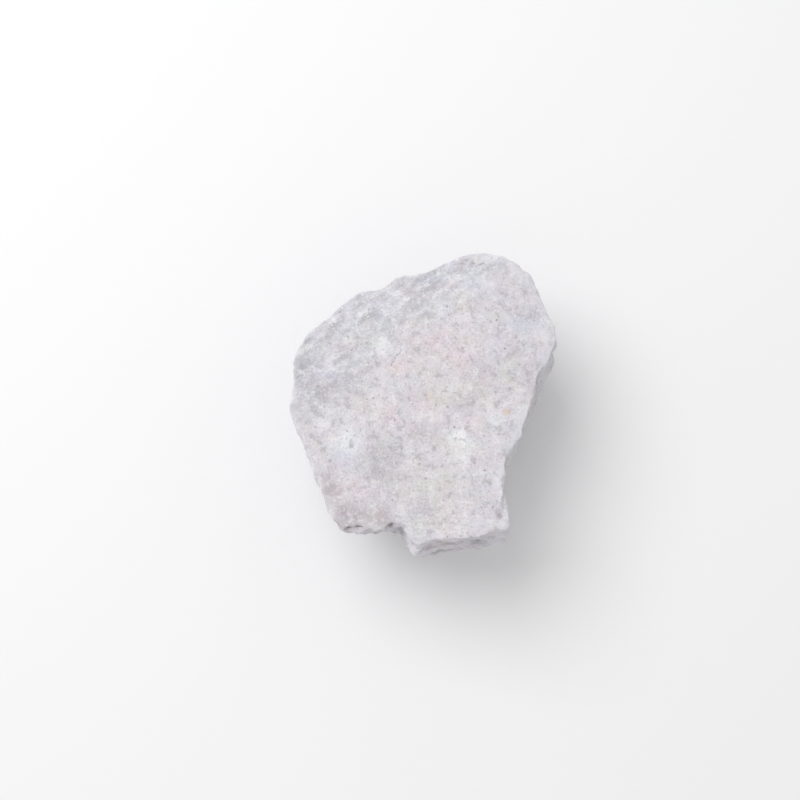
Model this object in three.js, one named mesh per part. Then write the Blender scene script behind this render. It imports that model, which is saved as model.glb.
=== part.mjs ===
// Kaolin clay lump: one piece of soft white clay rock, broken from its bed along fracture faces.
// It lies on its flattest side with the broad face up. Millimetres, +Z up, +Y away from the viewer.
// The origin is under the middle of the lump's box, on the surface that it lies on.

import * as THREE from 'three';
import { ImprovedNoise } from 'three/addons/math/ImprovedNoise.js';
import { mergeVertices } from 'three/addons/utils/BufferGeometryUtils.js';

// Driving dimensions: the finished lump's box
const WIDTH = 79; // left to right across the broad face
const LENGTH = 89.5; // front to back across the broad face
const THICKNESS = 47; // from the resting flat to the crown

// Heights above and below the lump's middle, where every fracture face is measured from
const CROWN = 22; // where the broad face passes over the middle
const RIM = 13; // just under the edge of the broad face, where the walls are widest
const BELLY = -7; // where the walls give way to the undercut
const BASE = -25; // the flat that the lump rests on

// How far worn edges and broken corners are rounded over
const EDGE_WEAR = 1.8;
const BREAK_WEAR = 1.2;

// Relief of the broken skin, coarse to fine: the size of a swell and how far it stands out
const SWELLS = [
  { across: 33, stands: 1.5 },
  { across: 15, stands: 1 },
  { across: 7, stands: 0.6 },
];

// The clay was laid down in beds that lie almost level and weather back by differing amounts
const BED_THICKNESS = 6.5;
const BED_STANDS = 1.2;
const BED_DIP = 7; // degrees, down towards the front
const BED_STRIKE = 285; // azimuth of the dip
const BED_SLOPE_FROM = 0.55; // share of a bed's thickness that is upright, before it slopes to the next
const BED_PATCH = 45; // how far a bed keeps the same stand
const BED_WAVE = { across: 24, stands: 0.5 }; // how far a bed wanders, as a share of its thickness

// How the skin is found: rays from the middle, then the nearest vertices drawn on to each arris
const SKIN_DETAIL = 20; // splits of each edge of the starting icosahedron
const FARTHEST = 80; // no part of the lump is farther than this from its middle
const HALVINGS = 40; // steps in the search along a ray
const PROBE = 0.05; // step for measuring which way the skin faces
const ARRIS_TURN = 26; // degrees between neighbours that mark an arris
const ARRIS_PULL = 0.55; // farthest move, as a share of the neighbours' distance
const HOLD = 0.06; // keeps a vertex in place along its arris
const LEAST_AGREEMENT = 0.45; // cosine between a triangle's facing before and after
const UNFOLD_ROUNDS = 6;
const FLAT_WITHIN = 0.25; // a vertex this near to the resting flat belongs to it

const CLAY = { color: 0xd7d3d6, roughness: 0.95, metalness: 0 };

// A fracture plane. Azimuth is anticlockwise from +X seen from above, lean is how far the outward
// normal rises above level (90 faces straight up), and the plane passes reach out at that height.
function fracture(azimuth, lean, reach, height) {
  const turn = THREE.MathUtils.degToRad(azimuth);
  const rise = THREE.MathUtils.degToRad(lean);
  const level = new THREE.Vector3(Math.cos(turn), Math.sin(turn), 0);
  const normal = level.clone().multiplyScalar(Math.cos(rise)).setZ(Math.sin(rise));
  const point = level.multiplyScalar(reach).setZ(height);
  return new THREE.Plane().setFromNormalAndCoplanarPoint(normal, point);
}

// The whole block is the space inside all of these faces
const FACES = [
  // broad upper side: the main face and the gentler ones that it breaks into
  fracture(285, 88, 0, CROWN),
  fracture(124, 69, 17, CROWN), // long bevel down to the back-left edge
  fracture(8, 79, 19, CROWN), // right shoulder
  fracture(238, 82, 15, CROWN), // slope to the front-left corner
  // walls that give the lump its outline, anticlockwise from the right
  fracture(-16, 0, 32.8, RIM),
  fracture(22, -5, 42.3, RIM), // lobe
  fracture(33, -8, 43.7, RIM),
  fracture(61, -6, 46.3, RIM), // back-right corner
  fracture(102, -9, 39.4, RIM), // back
  fracture(113, -12, 37.8, RIM),
  fracture(130, -6, 39.2, RIM), // back-left
  fracture(147, -9, 39.6, RIM),
  fracture(185, -5, 38.9, RIM), // left
  fracture(199, -7, 38.9, RIM),
  fracture(207, -10, 40.1, RIM), // front-left
  fracture(252, -9, 44, RIM),
  fracture(277.5, 10, 42, RIM + 6), // front, standing out below the rim
  fracture(276, -14, 45, RIM - 11),
  fracture(306, -7, 44.8, RIM), // front-right corner
  // undercut that draws the walls in to the flat
  fracture(44, -34, 40, BELLY),
  fracture(98, -20, 37, BELLY + 1),
  fracture(130, -42, 39, BELLY + 2),
  fracture(163, -13, 37.5, BELLY + 6),
  fracture(218, -33, 38, BELLY + 3),
  fracture(275, -47, 39, BELLY + 3),
  fracture(330, -30, 29, BELLY + 1),
];

// Pieces that broke away: each is the corner of space outside all of its planes at once
const BREAKS = [
  // hollow in the right wall, between the lobe and the front-right block
  [fracture(-21, -1, 28.6, RIM), fracture(-31, 2, 25.3, RIM), fracture(90, 4, -20.9, RIM)],
  // outer wall of the front-right block
  [fracture(2, -2, 21.2, RIM), fracture(270, 0, 20, RIM)],
  // notch in the front edge
  [fracture(272, -2, 37.6, RIM), fracture(212, 2, 26.8, RIM)],
  // step in the back edge
  [fracture(108, -4, 36.5, RIM), fracture(135, 4, 28.2, RIM)],
  // chunk gone from the back-right wall, under the rim
  [fracture(15, -12, 37.5, 0), fracture(80, -8, 37, 0), fracture(48, -62, 44, 4)],
];

// Bites out of the front, where softer clay fell out
const HOLLOWS = [
  { at: new THREE.Vector3(-10.4, -39.2, 19.5), radius: 2.5 }, // inner corner of the front notch
  { at: new THREE.Vector3(-19.5, -40.4, 18.5), radius: 2.9 },
  { at: new THREE.Vector3(13.6, -42.7, 12), radius: 2.8 }, // under the rim, at the right
];

const swell = new ImprovedNoise();

// The larger of two depths, with the ridge between them worn over the given width
function wornMax(a, b, wear) {
  const overlap = Math.max(wear - Math.abs(a - b), 0) / wear;
  return Math.max(a, b) + (overlap * overlap * wear) / 4;
}

// How far a point stands outside the lump, its relief taken in: negative inside
function outsideLump(point) {
  const beyond = (plane) => plane.distanceToPoint(point);
  const whole = FACES.map(beyond).reduce((a, b) => wornMax(a, b, EDGE_WEAR));
  const broken = BREAKS.map((planes) => Math.min(...planes.map(beyond)));
  const hollowed = HOLLOWS.map(({ at, radius }) => radius - at.distanceTo(point));
  const worn = [whole, ...broken, ...hollowed].reduce((a, b) => wornMax(a, b, BREAK_WEAR));
  return Math.max(worn - relief(point), BASE - point.z);
}

// Which way the skin faces at a point on or near it
function facing(point) {
  const normal = new THREE.Vector3();
  for (const axis of ['x', 'y', 'z']) {
    const probe = point.clone();
    probe[axis] += PROBE;
    normal[axis] = outsideLump(probe);
    probe[axis] -= 2 * PROBE;
    normal[axis] -= outsideLump(probe);
  }
  return normal.normalize();
}

// Smooth noise with swells of the given size; the size also picks a different part of the noise
function swellAt(point, across) {
  return swell.noise(point.x / across, point.y / across, point.z / across + across);
}

// Each bed stands out or lies back as a whole, with a short slope from one to the next
const bedUp = fracture(BED_STRIKE, 90 - BED_DIP, 0, 0).normal;
function bedRelief(point) {
  const level = point.dot(bedUp) / BED_THICKNESS + BED_WAVE.stands * swellAt(point, BED_WAVE.across);
  const bed = Math.floor(level);
  const stand = (n) => BED_STANDS * swell.noise(Math.SQRT1_2 * n, point.x / BED_PATCH, point.y / BED_PATCH);
  const slope = THREE.MathUtils.smoothstep(level - bed, BED_SLOPE_FROM, 1);
  return THREE.MathUtils.lerp(stand(bed), stand(bed + 1), slope);
}

// How far the skin stands out from the fracture faces at a point
function relief(point) {
  const swells = SWELLS.map(({ across, stands }) => stands * swellAt(point, across));
  return swells.reduce((sum, stands) => sum + stands, bedRelief(point));
}

// The point where a ray from the lump's middle comes out of it
function skinAlong(direction) {
  const point = new THREE.Vector3();
  let inside = 0;
  let outside = FARTHEST;
  for (let i = 0; i < HALVINGS; i += 1) {
    const middle = (inside + outside) / 2;
    point.copy(direction).multiplyScalar(middle);
    if (outsideLump(point) < 0) inside = middle;
    else outside = middle;
  }
  return point;
}

// The vertices joined to each vertex by an edge
function neighboursOf(index, count) {
  const rings = Array.from({ length: count }, () => new Set());
  for (let i = 0; i < index.length; i += 3) {
    const corners = [index[i], index[i + 1], index[i + 2]];
    corners.forEach((a) => corners.filter((b) => b !== a).forEach((b) => rings[a].add(b)));
  }
  return rings.map((ring) => [...ring]);
}

// Draws the vertices that lie nearest to an arris on to it: each goes to the point that best lies
// on the planes that the skin has at its neighbours
function snapToArrises(points, rings) {
  const normals = points.map(facing);
  const turned = Math.cos(THREE.MathUtils.degToRad(ARRIS_TURN));
  return points.map((point, i) => {
    if (rings[i].every((j) => normals[i].dot(normals[j]) > turned)) return point;
    const sum = new THREE.Matrix3().multiplyScalar(HOLD);
    const pull = new THREE.Vector3();
    for (const j of [i, ...rings[i]]) {
      const n = normals[j].toArray();
      n.forEach((a, row) => n.forEach((b, column) => { sum.elements[3 * row + column] += a * b; }));
      pull.addScaledVector(normals[j], normals[j].dot(points[j].clone().sub(point)));
    }
    const move = pull.applyMatrix3(sum.invert());
    const spacing = rings[i].reduce((total, j) => total + points[j].distanceTo(point), 0) / rings[i].length;
    return move.length() < ARRIS_PULL * spacing ? point.clone().add(move) : point;
  });
}

// Puts back the vertex that moved farthest in each triangle that was folded over or drawn to a sliver
function unfold(points, snapped, index) {
  const settled = [...snapped];
  const facingOf = (places, corners) => {
    const [a, b, c] = corners.map((corner) => places[corner]);
    return new THREE.Triangle(a, b, c).getNormal(new THREE.Vector3());
  };
  for (let round = 0; round < UNFOLD_ROUNDS; round += 1) {
    for (let i = 0; i < index.length; i += 3) {
      const corners = [index[i], index[i + 1], index[i + 2]];
      if (facingOf(points, corners).dot(facingOf(settled, corners)) < LEAST_AGREEMENT) {
        const moves = corners.map((corner) => points[corner].distanceTo(settled[corner]));
        const farthest = corners[moves.indexOf(Math.max(...moves))];
        settled[farthest] = points[farthest];
      }
    }
  }
  return settled;
}

// A closed skin: rays spread evenly over an ellipsoid of the lump's proportions find the surface
function lumpGeometry() {
  const sphere = new THREE.IcosahedronGeometry(1, SKIN_DETAIL);
  sphere.deleteAttribute('normal');
  sphere.deleteAttribute('uv');
  const skin = mergeVertices(sphere);
  const position = skin.getAttribute('position');
  const proportions = new THREE.Vector3(WIDTH, LENGTH, THICKNESS);
  const found = Array.from({ length: position.count }, (_, i) => {
    const direction = new THREE.Vector3().fromBufferAttribute(position, i);
    return skinAlong(direction.multiply(proportions).normalize());
  });
  const drawn = snapToArrises(found, neighboursOf(skin.index.array, position.count));
  unfold(found, drawn, skin.index.array).forEach((p, i) => {
    position.setXYZ(i, p.x, p.y, p.z < BASE + FLAT_WITHIN ? BASE : p.z);
  });
  fitToBox(skin);
  skin.computeVertexNormals();
  return skin;
}

// Trims the shape to the driving dimensions and stands it on the origin
function fitToBox(geometry) {
  geometry.computeBoundingBox();
  const size = geometry.boundingBox.getSize(new THREE.Vector3());
  const middle = geometry.boundingBox.getCenter(new THREE.Vector3());
  geometry.translate(-middle.x, -middle.y, -geometry.boundingBox.min.z);
  geometry.scale(WIDTH / size.x, LENGTH / size.y, THICKNESS / size.z);
}

const lump = new THREE.Mesh(lumpGeometry(), new THREE.MeshStandardMaterial(CLAY));
lump.name = 'clay_lump';

const part = new THREE.Group();
part.add(lump);

export default part;
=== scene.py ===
"""Kaolin clay lump: its broken skin in full relief, its chalky finish, and a plain studio around it."""

import math

import bmesh
import bpy
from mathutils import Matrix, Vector, noise


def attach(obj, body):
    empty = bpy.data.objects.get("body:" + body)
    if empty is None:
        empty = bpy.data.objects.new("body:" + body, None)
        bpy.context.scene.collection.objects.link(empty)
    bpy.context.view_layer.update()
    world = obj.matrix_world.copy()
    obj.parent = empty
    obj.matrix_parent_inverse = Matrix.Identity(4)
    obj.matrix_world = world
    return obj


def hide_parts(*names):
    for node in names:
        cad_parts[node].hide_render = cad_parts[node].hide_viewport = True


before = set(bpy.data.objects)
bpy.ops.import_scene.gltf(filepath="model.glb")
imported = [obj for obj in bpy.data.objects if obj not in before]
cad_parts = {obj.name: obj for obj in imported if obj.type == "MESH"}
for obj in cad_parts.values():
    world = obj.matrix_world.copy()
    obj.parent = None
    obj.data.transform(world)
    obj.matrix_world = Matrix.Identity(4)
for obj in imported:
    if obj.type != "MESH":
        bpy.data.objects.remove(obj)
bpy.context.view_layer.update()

LUMP = "clay_lump"
MM = 0.001

# Skin: how finely the solid's facets are split, and how far they are worn, on the arrises and on the faces
MERGE_WITHIN = 0.002 * MM
SKIN_CUTS = 3
ARRIS_PASSES = 5
FACE_PASSES = 16
FINE_PASSES = 5
BROAD_PASSES = 70
WEAR_STEP = 0.5

# How far in mm a place stands out from the smoothed lump where the rim begins and where it is all rim, and
# within which distance of it a place still belongs to a face
RIM_STANDS = (0.3, 1.1)
FACE_STANDS = 0.45

# The relief sets in over this height in mm, because the base stays flat
BASE_FADE = 2.5

# How much a place faces up where the walls end and where the upper side begins
WALL_FACING = (0.45, 0.8)

# The walls are less deeply broken from the first height in mm to the second, by this share, and their relief
# stands back, so that its ridges keep to the solid
WALL_TOP = (31.0, 41.0)
WALL_TOP_CALM = 0.6
WALL_BACK = 0.75

# Smooth swells of the skin: size and height in mm
SWELLS = ((10.0, 0.25), (3.6, 0.12), (1.5, 0.09))

# Broken relief in mm: the size of its bowls, how far they are warped, how high it is, and how much more on
# the walls; then the sizes of the noise that warps it
BREAKAGE = ((11.0, 1.4, 0.3, 1.5), (4.6, 1.4, 0.18, 0.6))
FINE_BREAKAGE = (2.1, 0.5, 0.12, 0.16)
WARP_SIZES = (6.0, 6.3, 6.7)

# A bowl's curve, how much it leans, and what brings the relief around 0
BOWL_CURVE = 1.4
BOWL_LEAN = 1.5
BOWL_MEAN = 0.15

# These keep the noise of each size, and the lots of each cell, apart
GRAIN_APART = 3.7
LOTS_APART = 91.7

# The beds of the clay lie almost level, dip a little to the front, and wander: by how much, and over what
# size in mm
BED_UP = Vector((0.03, -0.12, 0.99)).normalized()
BED_WANDER = 0.9
BED_WANDER_SIZE = 11.0

# Thin and thick beds in mm: thickness, run and height, and how much higher the thin ones are on the layered
# front wall, which lies between these places along y and starts between these heights
THIN_BEDS = (1.5, 25.0)
THIN_HIGH = 0.24
THIN_MORE = 0.2
THICK_BEDS = (2.8, 12.0)
THICK_HIGH = 1.1
LAYERED_FROM = (-38.0, -41.0)
LAYERED_ABOVE = (22.0, 28.0)

# The bevel at the back left: streaks run along it, and its crease is this far from the middle
BEVEL_ALONG = Vector((0.82, 0.57, 0.0))
BEVEL_ACROSS = Vector((-0.57, 0.82, 0.0))
BEVEL_TURN = 34.8
BEVEL_CREASE = 15.5
BEVEL_FADE = (-1.0, 2.5)
STREAK_RUN = 8.0
STREAK_WIDE = 1.8
STREAK_HIGH = 0.2
STREAK_SLICE = 0.3

# Small pits: how far apart in mm, their radius as a share of that, and how many of the places have one
PITS = ((6.1, 0.17, 0.4), (3.3, 0.2, 0.25))
PIT_DEEP = 0.38
LEAST_PIT = 0.35
PIT_EDGE_CALM = 0.8
PIT_WARP = 0.4
PIT_DRIFT = Vector((4.0, 1.5, 2.0))

# Nicks in the rim: the size of the bowls, how far they are warped, and how deep they go
NICKS = ((5.2, 1.4, 1.6), (2.3, 0.0, 0.9))

# The rim crumbles most around this place
CRUMBLY = Vector((-19.0, -38.0, 44.0))
CRUMBLY_REACH = 14.0
CRUMBLY_CORE = 0.4
CRUMBS = (3.3, 0.6, 5.0)
CRUMBS_FROM = 0.12

# Cracks follow planes: a point on each, its normal, how far the crack runs, and its depth and half width
# in mm
CRACKS = [
    {"at": (-9.2, 11.6, 45.0), "across": (-0.82, 0.57, 0.0), "reach": 4.6, "deep": 0.5, "wide": 0.5},
    {"at": (3.6, 1.2, 46.0), "across": (0.72, 0.69, 0.0), "reach": 3.6, "deep": 0.25, "wide": 0.8},
    {"at": (13.0, 40.8, 44.0), "across": (0.06, 0.99, 0.0), "reach": 7.5, "deep": 0.3, "wide": 0.7},
    {"at": (-6.0, 39.0, 27.0), "across": (0.96, -0.1, 0.26), "reach": 15.0, "deep": 0.7, "wide": 0.7},
    {"at": (29.0, -4.0, 25.0), "across": (0.1, 0.75, 0.65), "reach": 13.0, "deep": 0.6, "wide": 0.7},
    {"at": (-37.0, 4.0, 23.0), "across": (0.1, 0.6, 0.8), "reach": 12.0, "deep": 0.6, "wide": 0.7},
]
CRACK_WANDER = ((5.0, 0.8), (1.8, 0.35))
CRACK_CORE = 0.5

# Chips: middle and radii of each shallow scoop in mm, and how deep it goes
CHIPS = [
    {"at": (20.6, -31.5, 45.5), "radii": (3.0, 5.5, 6.0), "deep": 0.8},
    {"at": (24.0, 42.0, 40.0), "radii": (4.5, 4.5, 4.5), "deep": 0.8},
    {"at": (-20.6, -37.4, 42.5), "radii": (1.0, 1.3, 2.0), "deep": 0.9},
    {"at": (-16.9, -38.5, 41.4), "radii": (2.1, 1.6, 2.6), "deep": 1.5},
    {"at": (-10.3, -37.3, 42.5), "radii": (1.9, 1.7, 3.5), "deep": 1.7},
]
CHIP_CORE = 0.2
CHIP_RAGGED = 0.25
CHIP_RAGGED_SIZE = 2.6


def smoothstep(low, high, value):
    """0 at low, 1 at high, and an even curve between; low may be the larger."""
    t = min(max((value - low) / (high - low), 0.0), 1.0)
    return t * t * (3.0 - 2.0 * t)


def grain(place, size):
    """Smooth noise from -1 to 1 with swells of that size in mm; the size also picks a part of the noise."""
    return noise.noise(place / size + Vector((size, 0.0, GRAIN_APART * size)))


def lots(middle):
    """Three numbers from 0 to 1 that belong to the cell with that middle."""
    return noise.cell_vector(middle * LOTS_APART)


def fracture(place, size):
    """Broken clay: leaning shallow bowls of that size in mm that meet in sharp ridges, around 0."""
    spread = place / size
    bowls = []
    for middle in noise.voronoi(spread)[1]:
        away = spread - middle
        lean = lots(middle) - Vector((0.5, 0.5, 0.5))
        bowls.append(BOWL_CURVE * away.length_squared + BOWL_LEAN * away.dot(lean))
    return min(bowls) - BOWL_MEAN


def pits(place):
    """Small pits of many sizes: 1 at the bottom of the deepest."""
    depth = 0.0
    for apart, radius, share in PITS:
        near, middles = noise.voronoi(place / apart)
        chance, deep, wide = lots(middles[0])
        if chance < share:
            pit = 1.0 - smoothstep(0.0, radius * (0.5 + wide), near[0])
            depth = max(depth, (LEAST_PIT + (1.0 - LEAST_PIT) * deep) * pit)
    return depth


def beds(place, thick, run):
    """Noise in the clay's beds, of that thickness, changing along that run in mm."""
    bed = place.dot(BED_UP) + BED_WANDER * grain(place, BED_WANDER_SIZE)
    return noise.noise(Vector((bed / thick, place.x / run, place.y / run)))


def skin_relief(place, up, edge):
    """How far the skin stands out from the worn block at a place in mm, where up is how much it faces up."""
    wall = 1.0 - smoothstep(*WALL_FACING, up)
    deep = wall * (1.0 - WALL_TOP_CALM * smoothstep(*WALL_TOP, place.z))
    warp = Vector([grain(place, size) for size in WARP_SIZES])
    rise = sum(high * grain(place, size) for size, high in SWELLS) - WALL_BACK * deep
    for size, bend, high, more in BREAKAGE:
        rise += (high + more * deep) * fracture(place + bend * warp, size)
    size, bend, high, more = FINE_BREAKAGE
    rise += (high + more * wall) * fracture(place + bend * warp, size)

    layered = smoothstep(*LAYERED_FROM, place.y) * smoothstep(*LAYERED_ABOVE, place.z)
    rise += wall * (THIN_HIGH + THIN_MORE * layered) * beds(place, *THIN_BEDS)
    rise += wall * THICK_HIGH * layered * beds(place, *THICK_BEDS)

    along, across = place.dot(BEVEL_ALONG), place.dot(BEVEL_ACROSS)
    bevel = smoothstep(*BEVEL_FADE, across - BEVEL_CREASE) * (1.0 - wall)
    streak = Vector((along / STREAK_RUN, across / STREAK_WIDE, STREAK_SLICE))
    rise += STREAK_HIGH * bevel * noise.noise(streak)
    rise -= PIT_DEEP * (1.0 - PIT_EDGE_CALM * edge) * pits(place + PIT_WARP * warp + PIT_DRIFT)

    for size, bend, far in NICKS:
        rise += edge * far * min(fracture(place + bend * warp, size), 0.0)
    crumbly = 1.0 - smoothstep(CRUMBLY_CORE, 1.0, (place - CRUMBLY).length / CRUMBLY_REACH)
    size, bend, far = CRUMBS
    rise += edge * far * crumbly * min(fracture(place + bend * warp, size) - CRUMBS_FROM, 0.0)
    return rise


def broken_in(place):
    """How far the cracks and the chips go into the skin at a place in mm."""
    depth = 0.0
    for crack in CRACKS:
        away = place - Vector(crack["at"])
        ends = away.length / crack["reach"]
        if ends < 1.0:
            gap = away.dot(Vector(crack["across"]))
            for size, far in CRACK_WANDER:
                gap += far * grain(place, size)
            open_here = 1.0 - smoothstep(0.0, crack["wide"], abs(gap))
            depth += crack["deep"] * (1.0 - smoothstep(CRACK_CORE, 1.0, ends)) * open_here
    for chip in CHIPS:
        away = Vector([d / r for d, r in zip(place - Vector(chip["at"]), chip["radii"])]).length
        away += CHIP_RAGGED * grain(place, CHIP_RAGGED_SIZE)
        depth += chip["deep"] * (1.0 - smoothstep(CHIP_CORE, 1.0, away))
    return depth


def smooth(bm, verts, passes):
    """Wears the vertices down towards the middle of their neighbours."""
    axes = {"use_axis_x": True, "use_axis_y": True, "use_axis_z": True}
    for _ in range(passes):
        bmesh.ops.smooth_vert(bm, verts=verts, factor=WEAR_STEP, **axes)


def standing_out(bm, passes):
    """For each vertex, how far in mm it stands out from the skin that many smoothing passes would leave."""
    bm.normal_update()
    before = [v.co.copy() for v in bm.verts]
    facing = [v.normal.copy() for v in bm.verts]
    smooth(bm, bm.verts, passes)
    stands = [(co - v.co).dot(n) / MM for v, co, n in zip(bm.verts, before, facing)]
    for v, co in zip(bm.verts, before):
        v.co = co
    return stands


def clay_skin(finish):
    """The lump's skin: the solid's facets split, worn and given their broken relief."""
    bm = bmesh.new()
    bm.from_mesh(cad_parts[LUMP].data)
    bmesh.ops.remove_doubles(bm, verts=bm.verts, dist=MERGE_WITHIN)
    bmesh.ops.subdivide_edges(bm, edges=bm.edges, cuts=SKIN_CUTS, use_grid_fill=True)
    bmesh.ops.triangulate(bm, faces=[f for f in bm.faces if len(f.verts) > 3])
    smooth(bm, bm.verts, ARRIS_PASSES)
    stands = standing_out(bm, BROAD_PASSES)
    edges = [smoothstep(*RIM_STANDS, s) for s in stands]
    smooth(bm, [v for v, s in zip(bm.verts, stands) if abs(s) < FACE_STANDS], FACE_PASSES)
    bm.normal_update()
    moves = []
    for v, edge in zip(bm.verts, edges):
        place = v.co / MM
        rise = skin_relief(place, v.normal.z, edge) - broken_in(place)
        moves.append(v.normal * (rise * MM * smoothstep(0.0, BASE_FADE, place.z)))
    for v, move in zip(bm.verts, moves):
        v.co += move
        v.co.z = max(v.co.z, 0.0)
    # How far each place stands out, finely and broadly: the finish paints shade in the hollows and a
    # highlight on the rims by these
    stands = {"fine": standing_out(bm, FINE_PASSES), "broad": standing_out(bm, BROAD_PASSES)}
    mesh = bpy.data.meshes.new("clay_skin")
    bm.to_mesh(mesh)
    bm.free()
    for name, values in stands.items():
        attribute = mesh.attributes.new(name, "FLOAT", "POINT")
        attribute.data.foreach_set("value", values)
    mesh.shade_smooth()
    mesh.materials.append(finish)
    skin = bpy.data.objects.new("clay_skin", mesh)
    bpy.context.scene.collection.objects.link(skin)
    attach(skin, "root")
    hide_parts(LUMP)


def rgb(red, green, blue):
    """A colour given from 0 to 255 on the sRGB curve, as linear light."""
    shares = [c / 255 for c in (red, green, blue)]
    return (*[s / 12.92 if s <= 0.04045 else ((s + 0.055) / 1.055) ** 2.4 for s in shares], 1.0)


class Tone:
    """A shader socket: operators on it add Math nodes, and add() makes any other node."""

    def __init__(self, tree, socket=None):
        self.tree = tree
        self.socket = socket

    def add(self, kind, settings=None, sockets=None, output=0):
        node = self.tree.nodes.new(kind)
        for name, value in (settings or {}).items():
            setattr(node, name, value)
        for key, value in (sockets or {}).items():
            if isinstance(value, Tone):
                self.tree.links.new(value.socket, node.inputs[key])
            else:
                node.inputs[key].default_value = value
        return Tone(self.tree, node.outputs[output] if node.outputs else None)

    def math(self, operation, first, second):
        return self.add("ShaderNodeMath", {"operation": operation}, {0: first, 1: second})

    def __add__(self, other):
        return self.math("ADD", self, other)

    __radd__ = __add__

    def __sub__(self, other):
        return self.math("SUBTRACT", self, other)

    def __rsub__(self, other):
        return self.math("SUBTRACT", other, self)

    def __mul__(self, other):
        return self.math("MULTIPLY", self, other)

    __rmul__ = __mul__


def between(tone, low, high):
    """0 where the tone is at low, 1 where it is at high, an even curve between; low may be the larger."""
    sockets = {"Value": tone, "From Min": low, "From Max": high}
    return tone.add("ShaderNodeMapRange", {"interpolation_type": "SMOOTHSTEP"}, sockets)


def shifted(place, amount):
    return place.add("ShaderNodeVectorMath", {"operation": "ADD"}, {0: place, 1: amount})


def stretched(place, amount):
    return place.add("ShaderNodeVectorMath", {"operation": "MULTIPLY"}, {0: place, 1: amount})


def mottle(place, size, detail=2.0, rough=0.5, drift=(0.0, 0.0, 0.0), output=0):
    """Soft noise around 0.5 with patches of that size in mm; the drift picks a part of the noise."""
    sockets = {"Vector": shifted(place, drift), "Scale": 1.0 / size, "Detail": detail, "Roughness": rough}
    return place.add("ShaderNodeTexNoise", {}, sockets, output)


def tinted(colour, other, share):
    """The colour, turned to the other one by a share that varies over the surface."""
    sockets = {0: share, 6: colour, 7: other}
    return share.add("ShaderNodeMix", {"data_type": "RGBA"}, sockets, output=2)


def grained(colour, pattern, tones, within=1.0):
    """The colour with the tones of a pattern, everywhere or as much as a place is within a patch."""
    for tone, share, start, full in tones:
        colour = tinted(colour, tone, share * within * between(pattern, start, full))
    return colour


def wandered(place, size, reach):
    """The place, moved by noise of that size, up to half the reach in mm, which makes patches ragged."""
    drift = mottle(place, size, detail=3.0, output="Color")
    return shifted(place, stretched(shifted(drift, (-0.5, -0.5, -0.5)), reach))


def spot(place, middle, radii, soft):
    """1 in the middle of a patch of those radii in mm, fading to 0 at its edge."""
    offset = stretched(shifted(place, [-m for m in middle]), [1.0 / r for r in radii])
    away = place.add("ShaderNodeVectorMath", {"operation": "LENGTH"}, {0: offset}, output="Value")
    return between(away, 1.0, 1.0 - soft)


def any_of(place, patches, soft):
    """How strong the patches' tone is: that of the strongest patch at each place."""
    tones = [strength * spot(place, middle, radii, soft) for middle, radii, strength in patches]
    total = tones[0]
    for tone in tones[1:]:
        total = total.math("MAXIMUM", total, tone)
    return total


# Patches of tone: middle and radii in mm, and how strong the tone is
CHALK = rgb(233, 233, 237)
CHALK_PATCHES = [
    ((-23.0, -13.2, 44.0), (6.4, 5.4, 9.0), 0.65),
    ((-30.0, -6.5, 42.0), (3.8, 3.6, 9.0), 0.5),
    ((9.6, -10.6, 46.0), (3.5, 5.4, 9.0), 0.95),
    ((10.5, -17.5, 46.0), (3.8, 3.6, 9.0), 0.35),
    ((6.5, 2.0, 46.0), (4.4, 3.4, 9.0), 0.45),
    ((-6.0, 20.5, 45.0), (5.5, 4.0, 9.0), 0.3),
    ((10.0, 21.5, 46.0), (6.0, 4.5, 9.0), 0.2),
    ((19.0, -5.8, 46.0), (3.6, 3.0, 9.0), 0.4),
    ((-12.8, 14.8, 45.0), (4.8, 3.4, 9.0), 0.6),
    ((21.0, -26.8, 45.0), (3.0, 3.4, 9.0), 0.8),
    ((16.0, 35.0, 44.0), (6.0, 4.0, 9.0), 0.2),
    ((34.5, 19.5, 42.0), (2.8, 6.5, 9.0), 0.5),
]
CHALK_SOFT = 0.7
LAVENDER = rgb(212, 212, 221)
LAVENDER_PATCHES = [
    ((29.0, 22.8, 43.0), (8.0, 11.0, 12.0), 0.7),
    ((34.5, 13.0, 42.0), (4.5, 8.0, 9.0), 0.7),
    ((22.0, 32.0, 43.0), (9.0, 7.5, 12.0), 0.6),
    ((28.0, 35.5, 42.0), (6.0, 6.0, 9.0), 0.7),
    ((24.5, -14.0, 44.0), (4.0, 8.0, 9.0), 0.5),
    ((19.0, -30.0, 44.0), (5.5, 6.0, 9.0), 0.75),
    ((-26.0, -6.0, 43.0), (9.0, 7.0, 9.0), 0.8),
    ((-23.0, -16.0, 44.0), (6.0, 6.0, 9.0), 0.6),
]
PINK_PATCHES = [
    ((9.0, 17.0, 46.0), (14.0, 11.0, 12.0), 0.5),
    ((-5.5, 16.0, 45.0), (6.0, 5.0, 9.0), 0.4),
    ((-1.5, -4.0, 46.0), (11.0, 8.0, 12.0), 0.5),
    ((-8.5, 7.5, 45.0), (4.5, 5.5, 9.0), 0.7),
    ((-11.0, -4.5, 45.0), (5.0, 4.0, 9.0), 0.6),
    ((13.0, -30.5, 45.0), (7.0, 5.0, 12.0), 0.4),
]
CREAM_PATCHES = [
    ((3.0, -26.0, 45.0), (13.0, 7.0, 9.0), 0.75),
    ((7.5, -0.5, 46.0), (7.0, 5.5, 9.0), 1.0),
    ((24.0, 6.0, 44.0), (4.5, 11.0, 9.0), 0.65),
    ((10.0, 28.0, 44.0), (9.0, 5.0, 9.0), 0.55),
    ((-3.0, 22.5, 44.0), (5.5, 4.0, 9.0), 0.6),
    ((-14.0, 16.5, 44.0), (6.0, 4.5, 9.0), 0.6),
    ((-3.0, -38.0, 45.0), (6.0, 4.0, 9.0), 0.5),
]
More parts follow.
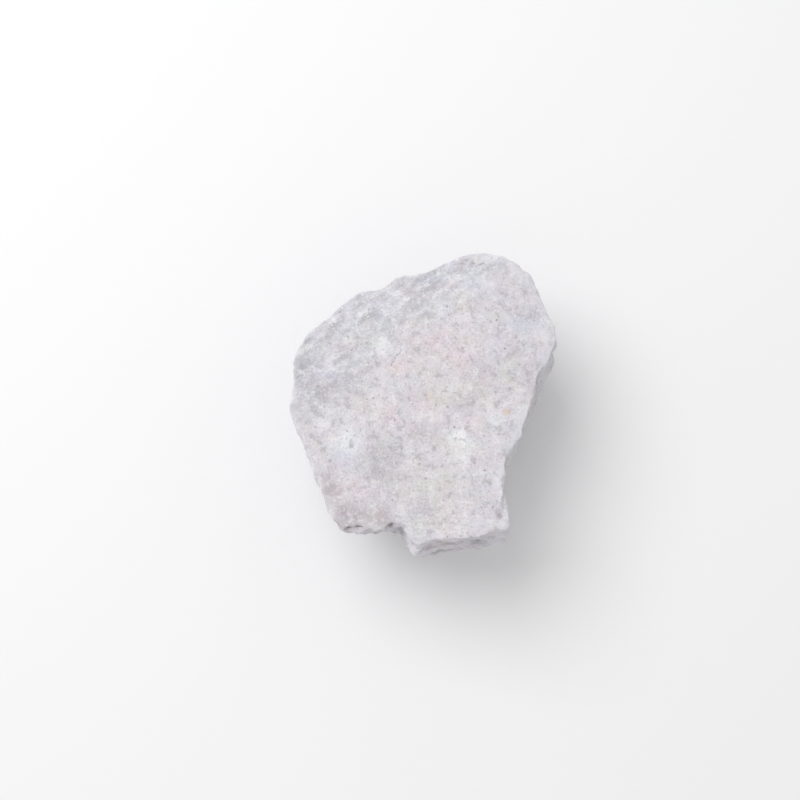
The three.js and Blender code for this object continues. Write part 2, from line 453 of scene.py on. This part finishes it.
DULL_PATCHES = [
    ((-13.5, -19.6, 45.0), (8.0, 10.0, 9.0), 0.45),
    ((-31.0, 2.0, 42.0), (7.0, 6.0, 12.0), 0.55),
    ((14.5, 6.5, 46.0), (4.5, 6.5, 9.0), 0.3),
    ((-3.5, -10.0, 46.0), (5.0, 4.5, 9.0), 0.35),
    ((-1.0, -32.0, 45.0), (5.5, 5.0, 9.0), 0.35),
    ((-21.0, 4.5, 45.0), (5.0, 4.5, 9.0), 0.25),
    ((-4.0, 28.7, 44.0), (6.0, 5.0, 9.0), 0.3),
    ((20.6, -32.2, 44.0), (2.8, 4.2, 6.0), 0.6),
    ((-3.5, -40.5, 44.0), (5.0, 4.0, 9.0), 0.3),
]
# Painted shade: grey on the side walls at the far left and the right
GREY_PAINTED_SHADE_PATCHES = [
    ((-36.0, 7.5, 38.0), (6.5, 9.5, 16.0), 0.85),
    ((-31.5, 0.5, 41.0), (5.0, 5.0, 12.0), 0.3),
    ((31.0, 3.5, 42.0), (4.0, 7.0, 9.0), 0.3),
]
# Painted shade: brownish grey on the lower left edge
BROWN_PAINTED_SHADE_PATCHES = [
    ((-23.0, -35.5, 42.0), (8.0, 7.5, 14.0), 0.8),
    ((-28.5, -27.0, 42.0), (5.0, 9.0, 14.0), 0.65),
    ((-15.0, -34.5, 43.0), (9.0, 6.0, 12.0), 0.45),
]
PORE_PATCHES = [
    ((-34.0, 4.0, 43.0), (8.0, 6.0, 9.0), 1.0),
    ((-15.8, 6.4, 45.0), (3.0, 3.0, 9.0), 1.0),
    ((-4.0, 30.0, 45.0), (9.0, 5.0, 9.0), 0.9),
    ((-13.0, -24.0, 45.0), (9.0, 9.0, 9.0), 0.7),
    ((-10.5, -2.5, 45.0), (4.5, 2.8, 9.0), 1.0),
]

# Stains, and the grey and brownish painted shade on the side walls and the lower left edge, in the order in
# which they are laid on: colour, patches, and how soft their edges are
STAINS_AND_PAINTED_SHADE = [
    (LAVENDER, LAVENDER_PATCHES, 0.9),
    (rgb(221, 209, 212), PINK_PATCHES, 0.9),
    (rgb(217, 213, 208), CREAM_PATCHES, 0.9),
    (rgb(188, 181, 188), DULL_PATCHES, 0.8),
    (rgb(170, 170, 176), GREY_PAINTED_SHADE_PATCHES, 0.8),
    (rgb(178, 165, 169), BROWN_PAINTED_SHADE_PATCHES, 0.8),
]

# Small ochre and yellow specks: colour, strength, middle and radii in mm
SPECKS = [
    (rgb(216, 196, 178), 0.6, (23.3, -3.6, 45.0), (1.3, 1.5, 4.0)),
    (rgb(222, 216, 198), 0.5, (0.6, 0.0, 46.0), (1.6, 3.0, 4.0)),
]
SPECK_SOFT = 0.9

# The layered grey band on the front wall, just under the rim, its beds the clay's own and its darker grey
# partly painted shade under the rim, and the fine level streaks behind that rim: middle and radii in mm, and
# how soft the edge is
FRONT_BAND_BEDS_AND_SHADE = ((6.0, -44.0, 34.0), (17.0, 6.0, 13.0), 0.7)
FRONT_STREAKS = ((0.0, -36.0, 45.0), (17.0, 9.0, 9.0), 0.8)

# Patterns of noise, with their sizes in mm, and how much some are drawn out
BODY = {"size": 14.0}
BEVEL_EDGE = {"size": 7.0}
BEVEL_STREAKS = {"size": 2.6, "detail": 2.5, "rough": 0.6}
BEVEL_DRAWN = (0.4, 1.0, 1.0)
LAVENDER_HAZE = {"size": 9.0, "drift": (31.0, 7.0, 3.0)}
POWDER = {"size": 6.0, "detail": 4.0, "rough": 0.6, "drift": (3.0, 50.0, 9.0)}
HUES = {"size": 6.5, "detail": 5.0, "rough": 0.62, "drift": (70.0, 20.0, 10.0), "output": "Color"}
CLOUDS = {"size": 2.6, "detail": 3.0, "rough": 0.6, "drift": (11.0, 3.0, 60.0)}
SPECKLE = {"size": 0.62, "detail": 2.0, "rough": 0.6, "drift": (5.0, 19.0, 2.0)}
BAND_BEDS = {"size": 1.7, "detail": 3.0, "rough": 0.65}
BAND_DRAWN = (0.25, 0.25, 1.0)
LEVEL_STREAKS = {"size": 1.0, "detail": 2.0, "rough": 0.6}
LEVEL_DRAWN = (0.2, 1.0, 1.0)
FINE_GRIT = {"size": 0.5, "detail": 4.0, "rough": 0.65}
COARSE_GRIT = {"size": 1.6, "detail": 3.0, "rough": 0.6}

# Their tones: colour, strength, and where in the pattern it starts and is full
BODY_COLOUR = rgb(214, 211, 216)
BODY_TONES = [(rgb(218, 212, 215), 1.0, 0.38, 0.62)]
BEVEL_TONES = [(rgb(178, 177, 184), 0.75, 0.5, 0.68), (rgb(226, 225, 226), 0.55, 0.47, 0.32)]
HAZE_TONES = [(LAVENDER, 0.35, 0.5, 0.68)]
CLOUD_TONES = [(rgb(188, 184, 189), 0.75, 0.52, 0.7), (rgb(231, 229, 231), 0.6, 0.47, 0.3)]
SPECKLE_TONES = [(rgb(178, 173, 178), 0.58, 0.55, 0.72), (rgb(238, 237, 238), 0.5, 0.45, 0.3)]
BAND_BED_AND_SHADE_TONES = [(rgb(164, 163, 171), 0.6, 0.47, 0.62), (rgb(230, 230, 234), 0.5, 0.46, 0.34)]
LEVEL_TONES = [(rgb(186, 180, 186), 0.5, 0.54, 0.68), (rgb(232, 229, 230), 0.45, 0.46, 0.34)]

# Tones of the relief, by how far in mm a place stands out: grey in the hollows, painted shade with some dust,
# and white on the rims, painted highlight with some rubbed-off powder
FINE_DUST_AND_SHADE_TONES = [(rgb(150, 146, 150), 0.6, -0.05, -0.3)]
BROAD_HIGHLIGHT_AND_SHADE_TONES = [(rgb(228, 228, 232), 0.3, 0.25, 0.9), (rgb(160, 156, 162), 0.6, -0.2, -1.0)]

# Bevel: its grey, and how far its edge wanders and fades on either side of the crease in mm
BEVEL_GREY = rgb(201, 201, 207)
BEVEL_SHARE = 0.85
BEVEL_WANDER = 6.0
BEVEL_BEFORE = 3.5
BEVEL_AFTER = 5.0

# White powder in drifts, and how much the hue varies
POWDER_SHARE = 0.45
POWDER_FROM = (0.56, 0.7)
HUE_SPREAD = (0.17, 0.17, 0.17)
HUE_LEAST = (0.915, 0.915, 0.915)

# Dark pores: how far apart in mm, from edge to middle, which of the cells have one, and how many more
# there are in the porous patches
PORE_APART = 2.1
PORE_RADII = (0.24, 0.05)
PORE_CHANCE = (0.62, 0.86)
POROUS_MORE = 0.22
POROUS_SOFT = 0.9
PORE_COLOUR = rgb(150, 145, 149)
PORE_SHARE = 0.7
PORE_DEEP = 0.8

# How the edges of patches wander: size and reach in mm, broadly and finely
RAGGED = (5.0, (9.0, 9.0, 4.0))
CRUMBLED = (0.8, (0.9, 0.9, 0.9))


def clay_finish():
    """Dry kaolin: chalky and matte, mottled grey, pink and lavender, with white powder, pores and streaks,
    and with painted shade in its hollows, on its walls and under its front rim, and a painted highlight on
    its rims.
    """
    material = bpy.data.materials.new("clay")
    material.use_nodes = True
    tree = material.node_tree
    tree.nodes.clear()
    metres = Tone(tree).add("ShaderNodeTexCoord", output="Object")
    place = metres.add("ShaderNodeVectorMath", {"operation": "SCALE"}, {"Vector": metres, "Scale": 1 / MM})
    fine = metres.add("ShaderNodeAttribute", {"attribute_name": "fine"}, output="Fac")
    broad = metres.add("ShaderNodeAttribute", {"attribute_name": "broad"}, output="Fac")
    ragged = wandered(place, *RAGGED)
    crumbled = wandered(place, *CRUMBLED)

    colour = grained(BODY_COLOUR, mottle(place, **BODY), BODY_TONES)
    turn = {"Vector": place, "Rotation": (0.0, 0.0, math.radians(-BEVEL_TURN))}
    turned = place.add("ShaderNodeMapping", {}, turn)
    across = turned.add("ShaderNodeSeparateXYZ", {}, {0: turned}, output="Y")
    across = across + BEVEL_WANDER * (mottle(place, **BEVEL_EDGE) - 0.5)
    bevel = between(across, BEVEL_CREASE - BEVEL_BEFORE, BEVEL_CREASE + BEVEL_AFTER)
    colour = tinted(colour, BEVEL_GREY, BEVEL_SHARE * bevel)
    colour = grained(colour, mottle(stretched(turned, BEVEL_DRAWN), **BEVEL_STREAKS), BEVEL_TONES, bevel)

    colour = grained(colour, mottle(place, **LAVENDER_HAZE), HAZE_TONES)
    # Stains, then the grey and brown painted shade
    for tone, patches, soft in STAINS_AND_PAINTED_SHADE:
        colour = tinted(colour, tone, any_of(ragged, patches, soft))
    chalk = any_of(ragged, CHALK_PATCHES, CHALK_SOFT)
    powder = POWDER_SHARE * between(mottle(place, **POWDER), *POWDER_FROM)
    colour = tinted(colour, CHALK, chalk.math("MAXIMUM", chalk, powder))
    colour = stretched(colour, shifted(stretched(mottle(place, **HUES), HUE_SPREAD), HUE_LEAST))
    colour = grained(colour, mottle(place, **CLOUDS), CLOUD_TONES)
    colour = grained(colour, mottle(place, **SPECKLE), SPECKLE_TONES)

    cells = {"Vector": crumbled, "Scale": 1 / PORE_APART, "Randomness": 1.0}
    near = place.add("ShaderNodeTexVoronoi", {}, cells, output="Distance")
    lot = place.add("ShaderNodeTexVoronoi", {}, cells, output="Color")
    porous = any_of(ragged, PORE_PATCHES, POROUS_SOFT)
    pore = between(near, *PORE_RADII) * between(lot + POROUS_MORE * porous, *PORE_CHANCE)
    colour = tinted(colour, PORE_COLOUR, PORE_SHARE * pore)

    # Painted shade with some dust in the small and broad hollows, and a painted highlight with some powder on
    # the rims
    colour = grained(colour, fine, FINE_DUST_AND_SHADE_TONES)
    colour = grained(colour, broad, BROAD_HIGHLIGHT_AND_SHADE_TONES)
    # Layered beds on the front band, their darker grey partly painted shade under the rim
    band = mottle(stretched(crumbled, BAND_DRAWN), **BAND_BEDS)
    colour = grained(colour, band, BAND_BED_AND_SHADE_TONES, spot(ragged, *FRONT_BAND_BEDS_AND_SHADE))
    level = mottle(stretched(crumbled, LEVEL_DRAWN), **LEVEL_STREAKS)
    colour = grained(colour, level, LEVEL_TONES, spot(ragged, *FRONT_STREAKS))
    for tone, strength, middle, radii in SPECKS:
        colour = tinted(colour, tone, strength * spot(ragged, middle, radii, SPECK_SOFT))

    height = 0.5 * mottle(place, **FINE_GRIT) + 0.5 * mottle(place, **COARSE_GRIT) - PORE_DEEP * pore
    bump = {"Height": height, "Strength": 0.6, "Distance": 0.35 * MM}
    normal = height.add("ShaderNodeBump", {}, bump)
    clay = {
        "Base Color": colour,
        "Roughness": 0.95,
        "Diffuse Roughness": 0.6,
        "Specular IOR Level": 0.25,
        "Normal": normal,
    }
    surface = normal.add("ShaderNodeBsdfPrincipled", {}, clay)
    surface.add("ShaderNodeOutputMaterial", {}, {"Surface": surface})
    return material


# Studio: pale floor, one broad soft light from the back left, and even light from all round
FLOOR_SIDE = 6.0
FLOOR_COLOUR = rgb(236, 236, 237)
FLOOR_ROUGHNESS = 0.9
KEY_FROM = Vector((-0.42, 0.36, 0.85))
KEY_SIDE = 0.8
KEY_POWER = 5.9
SKY_COLOUR = (1.0, 1.0, 1.0, 1.0)
SKY = 0.68


def studio():
    bm = bmesh.new()
    bmesh.ops.create_grid(bm, x_segments=1, y_segments=1, size=FLOOR_SIDE / 2)
    mesh = bpy.data.meshes.new("floor")
    bm.to_mesh(mesh)
    bm.free()
    material = bpy.data.materials.new("floor")
    material.use_nodes = True
    shader = material.node_tree.nodes["Principled BSDF"]
    shader.inputs["Base Color"].default_value = FLOOR_COLOUR
    shader.inputs["Roughness"].default_value = FLOOR_ROUGHNESS
    mesh.materials.append(material)
    floor = bpy.data.objects.new("floor", mesh)
    bpy.context.scene.collection.objects.link(floor)

    lamp = bpy.data.lights.new("key", "AREA")
    lamp.shape = "DISK"
    lamp.size = KEY_SIDE
    lamp.energy = KEY_POWER
    key = bpy.data.objects.new("key", lamp)
    key.location = KEY_FROM
    key.rotation_euler = (-KEY_FROM).to_track_quat("-Z", "Y").to_euler()
    bpy.context.scene.collection.objects.link(key)

    world = bpy.data.worlds.new("studio")
    world.use_nodes = True
    sky = world.node_tree.nodes["Background"]
    sky.inputs["Color"].default_value = SKY_COLOUR
    sky.inputs["Strength"].default_value = SKY
    bpy.context.scene.world = world
    bpy.context.scene.view_settings.view_transform = "Standard"


# Camera: almost straight down on the broad face
CAMERA_AIM = Vector((-7.9, 3.0, 25.0)) * MM
CAMERA_ELEVATION = 80.0
CAMERA_DISTANCE = 0.52
CAMERA_LENS = 77.8
CAMERA_SENSOR = 36.0
CAMERA_NEAR = 0.01


def camera():
    lens = bpy.data.cameras.new("camera")
    lens.lens = CAMERA_LENS
    lens.sensor_width = CAMERA_SENSOR
    lens.clip_start = CAMERA_NEAR
    eye = bpy.data.objects.new("camera", lens)
    rise = math.radians(CAMERA_ELEVATION)
    eye.location = CAMERA_AIM + CAMERA_DISTANCE * Vector((0.0, -math.cos(rise), math.sin(rise)))
    eye.rotation_euler = (math.pi / 2 - rise, 0.0, 0.0)
    bpy.context.scene.collection.objects.link(eye)
    bpy.context.scene.camera = eye


camera()
studio()
clay_skin(clay_finish())
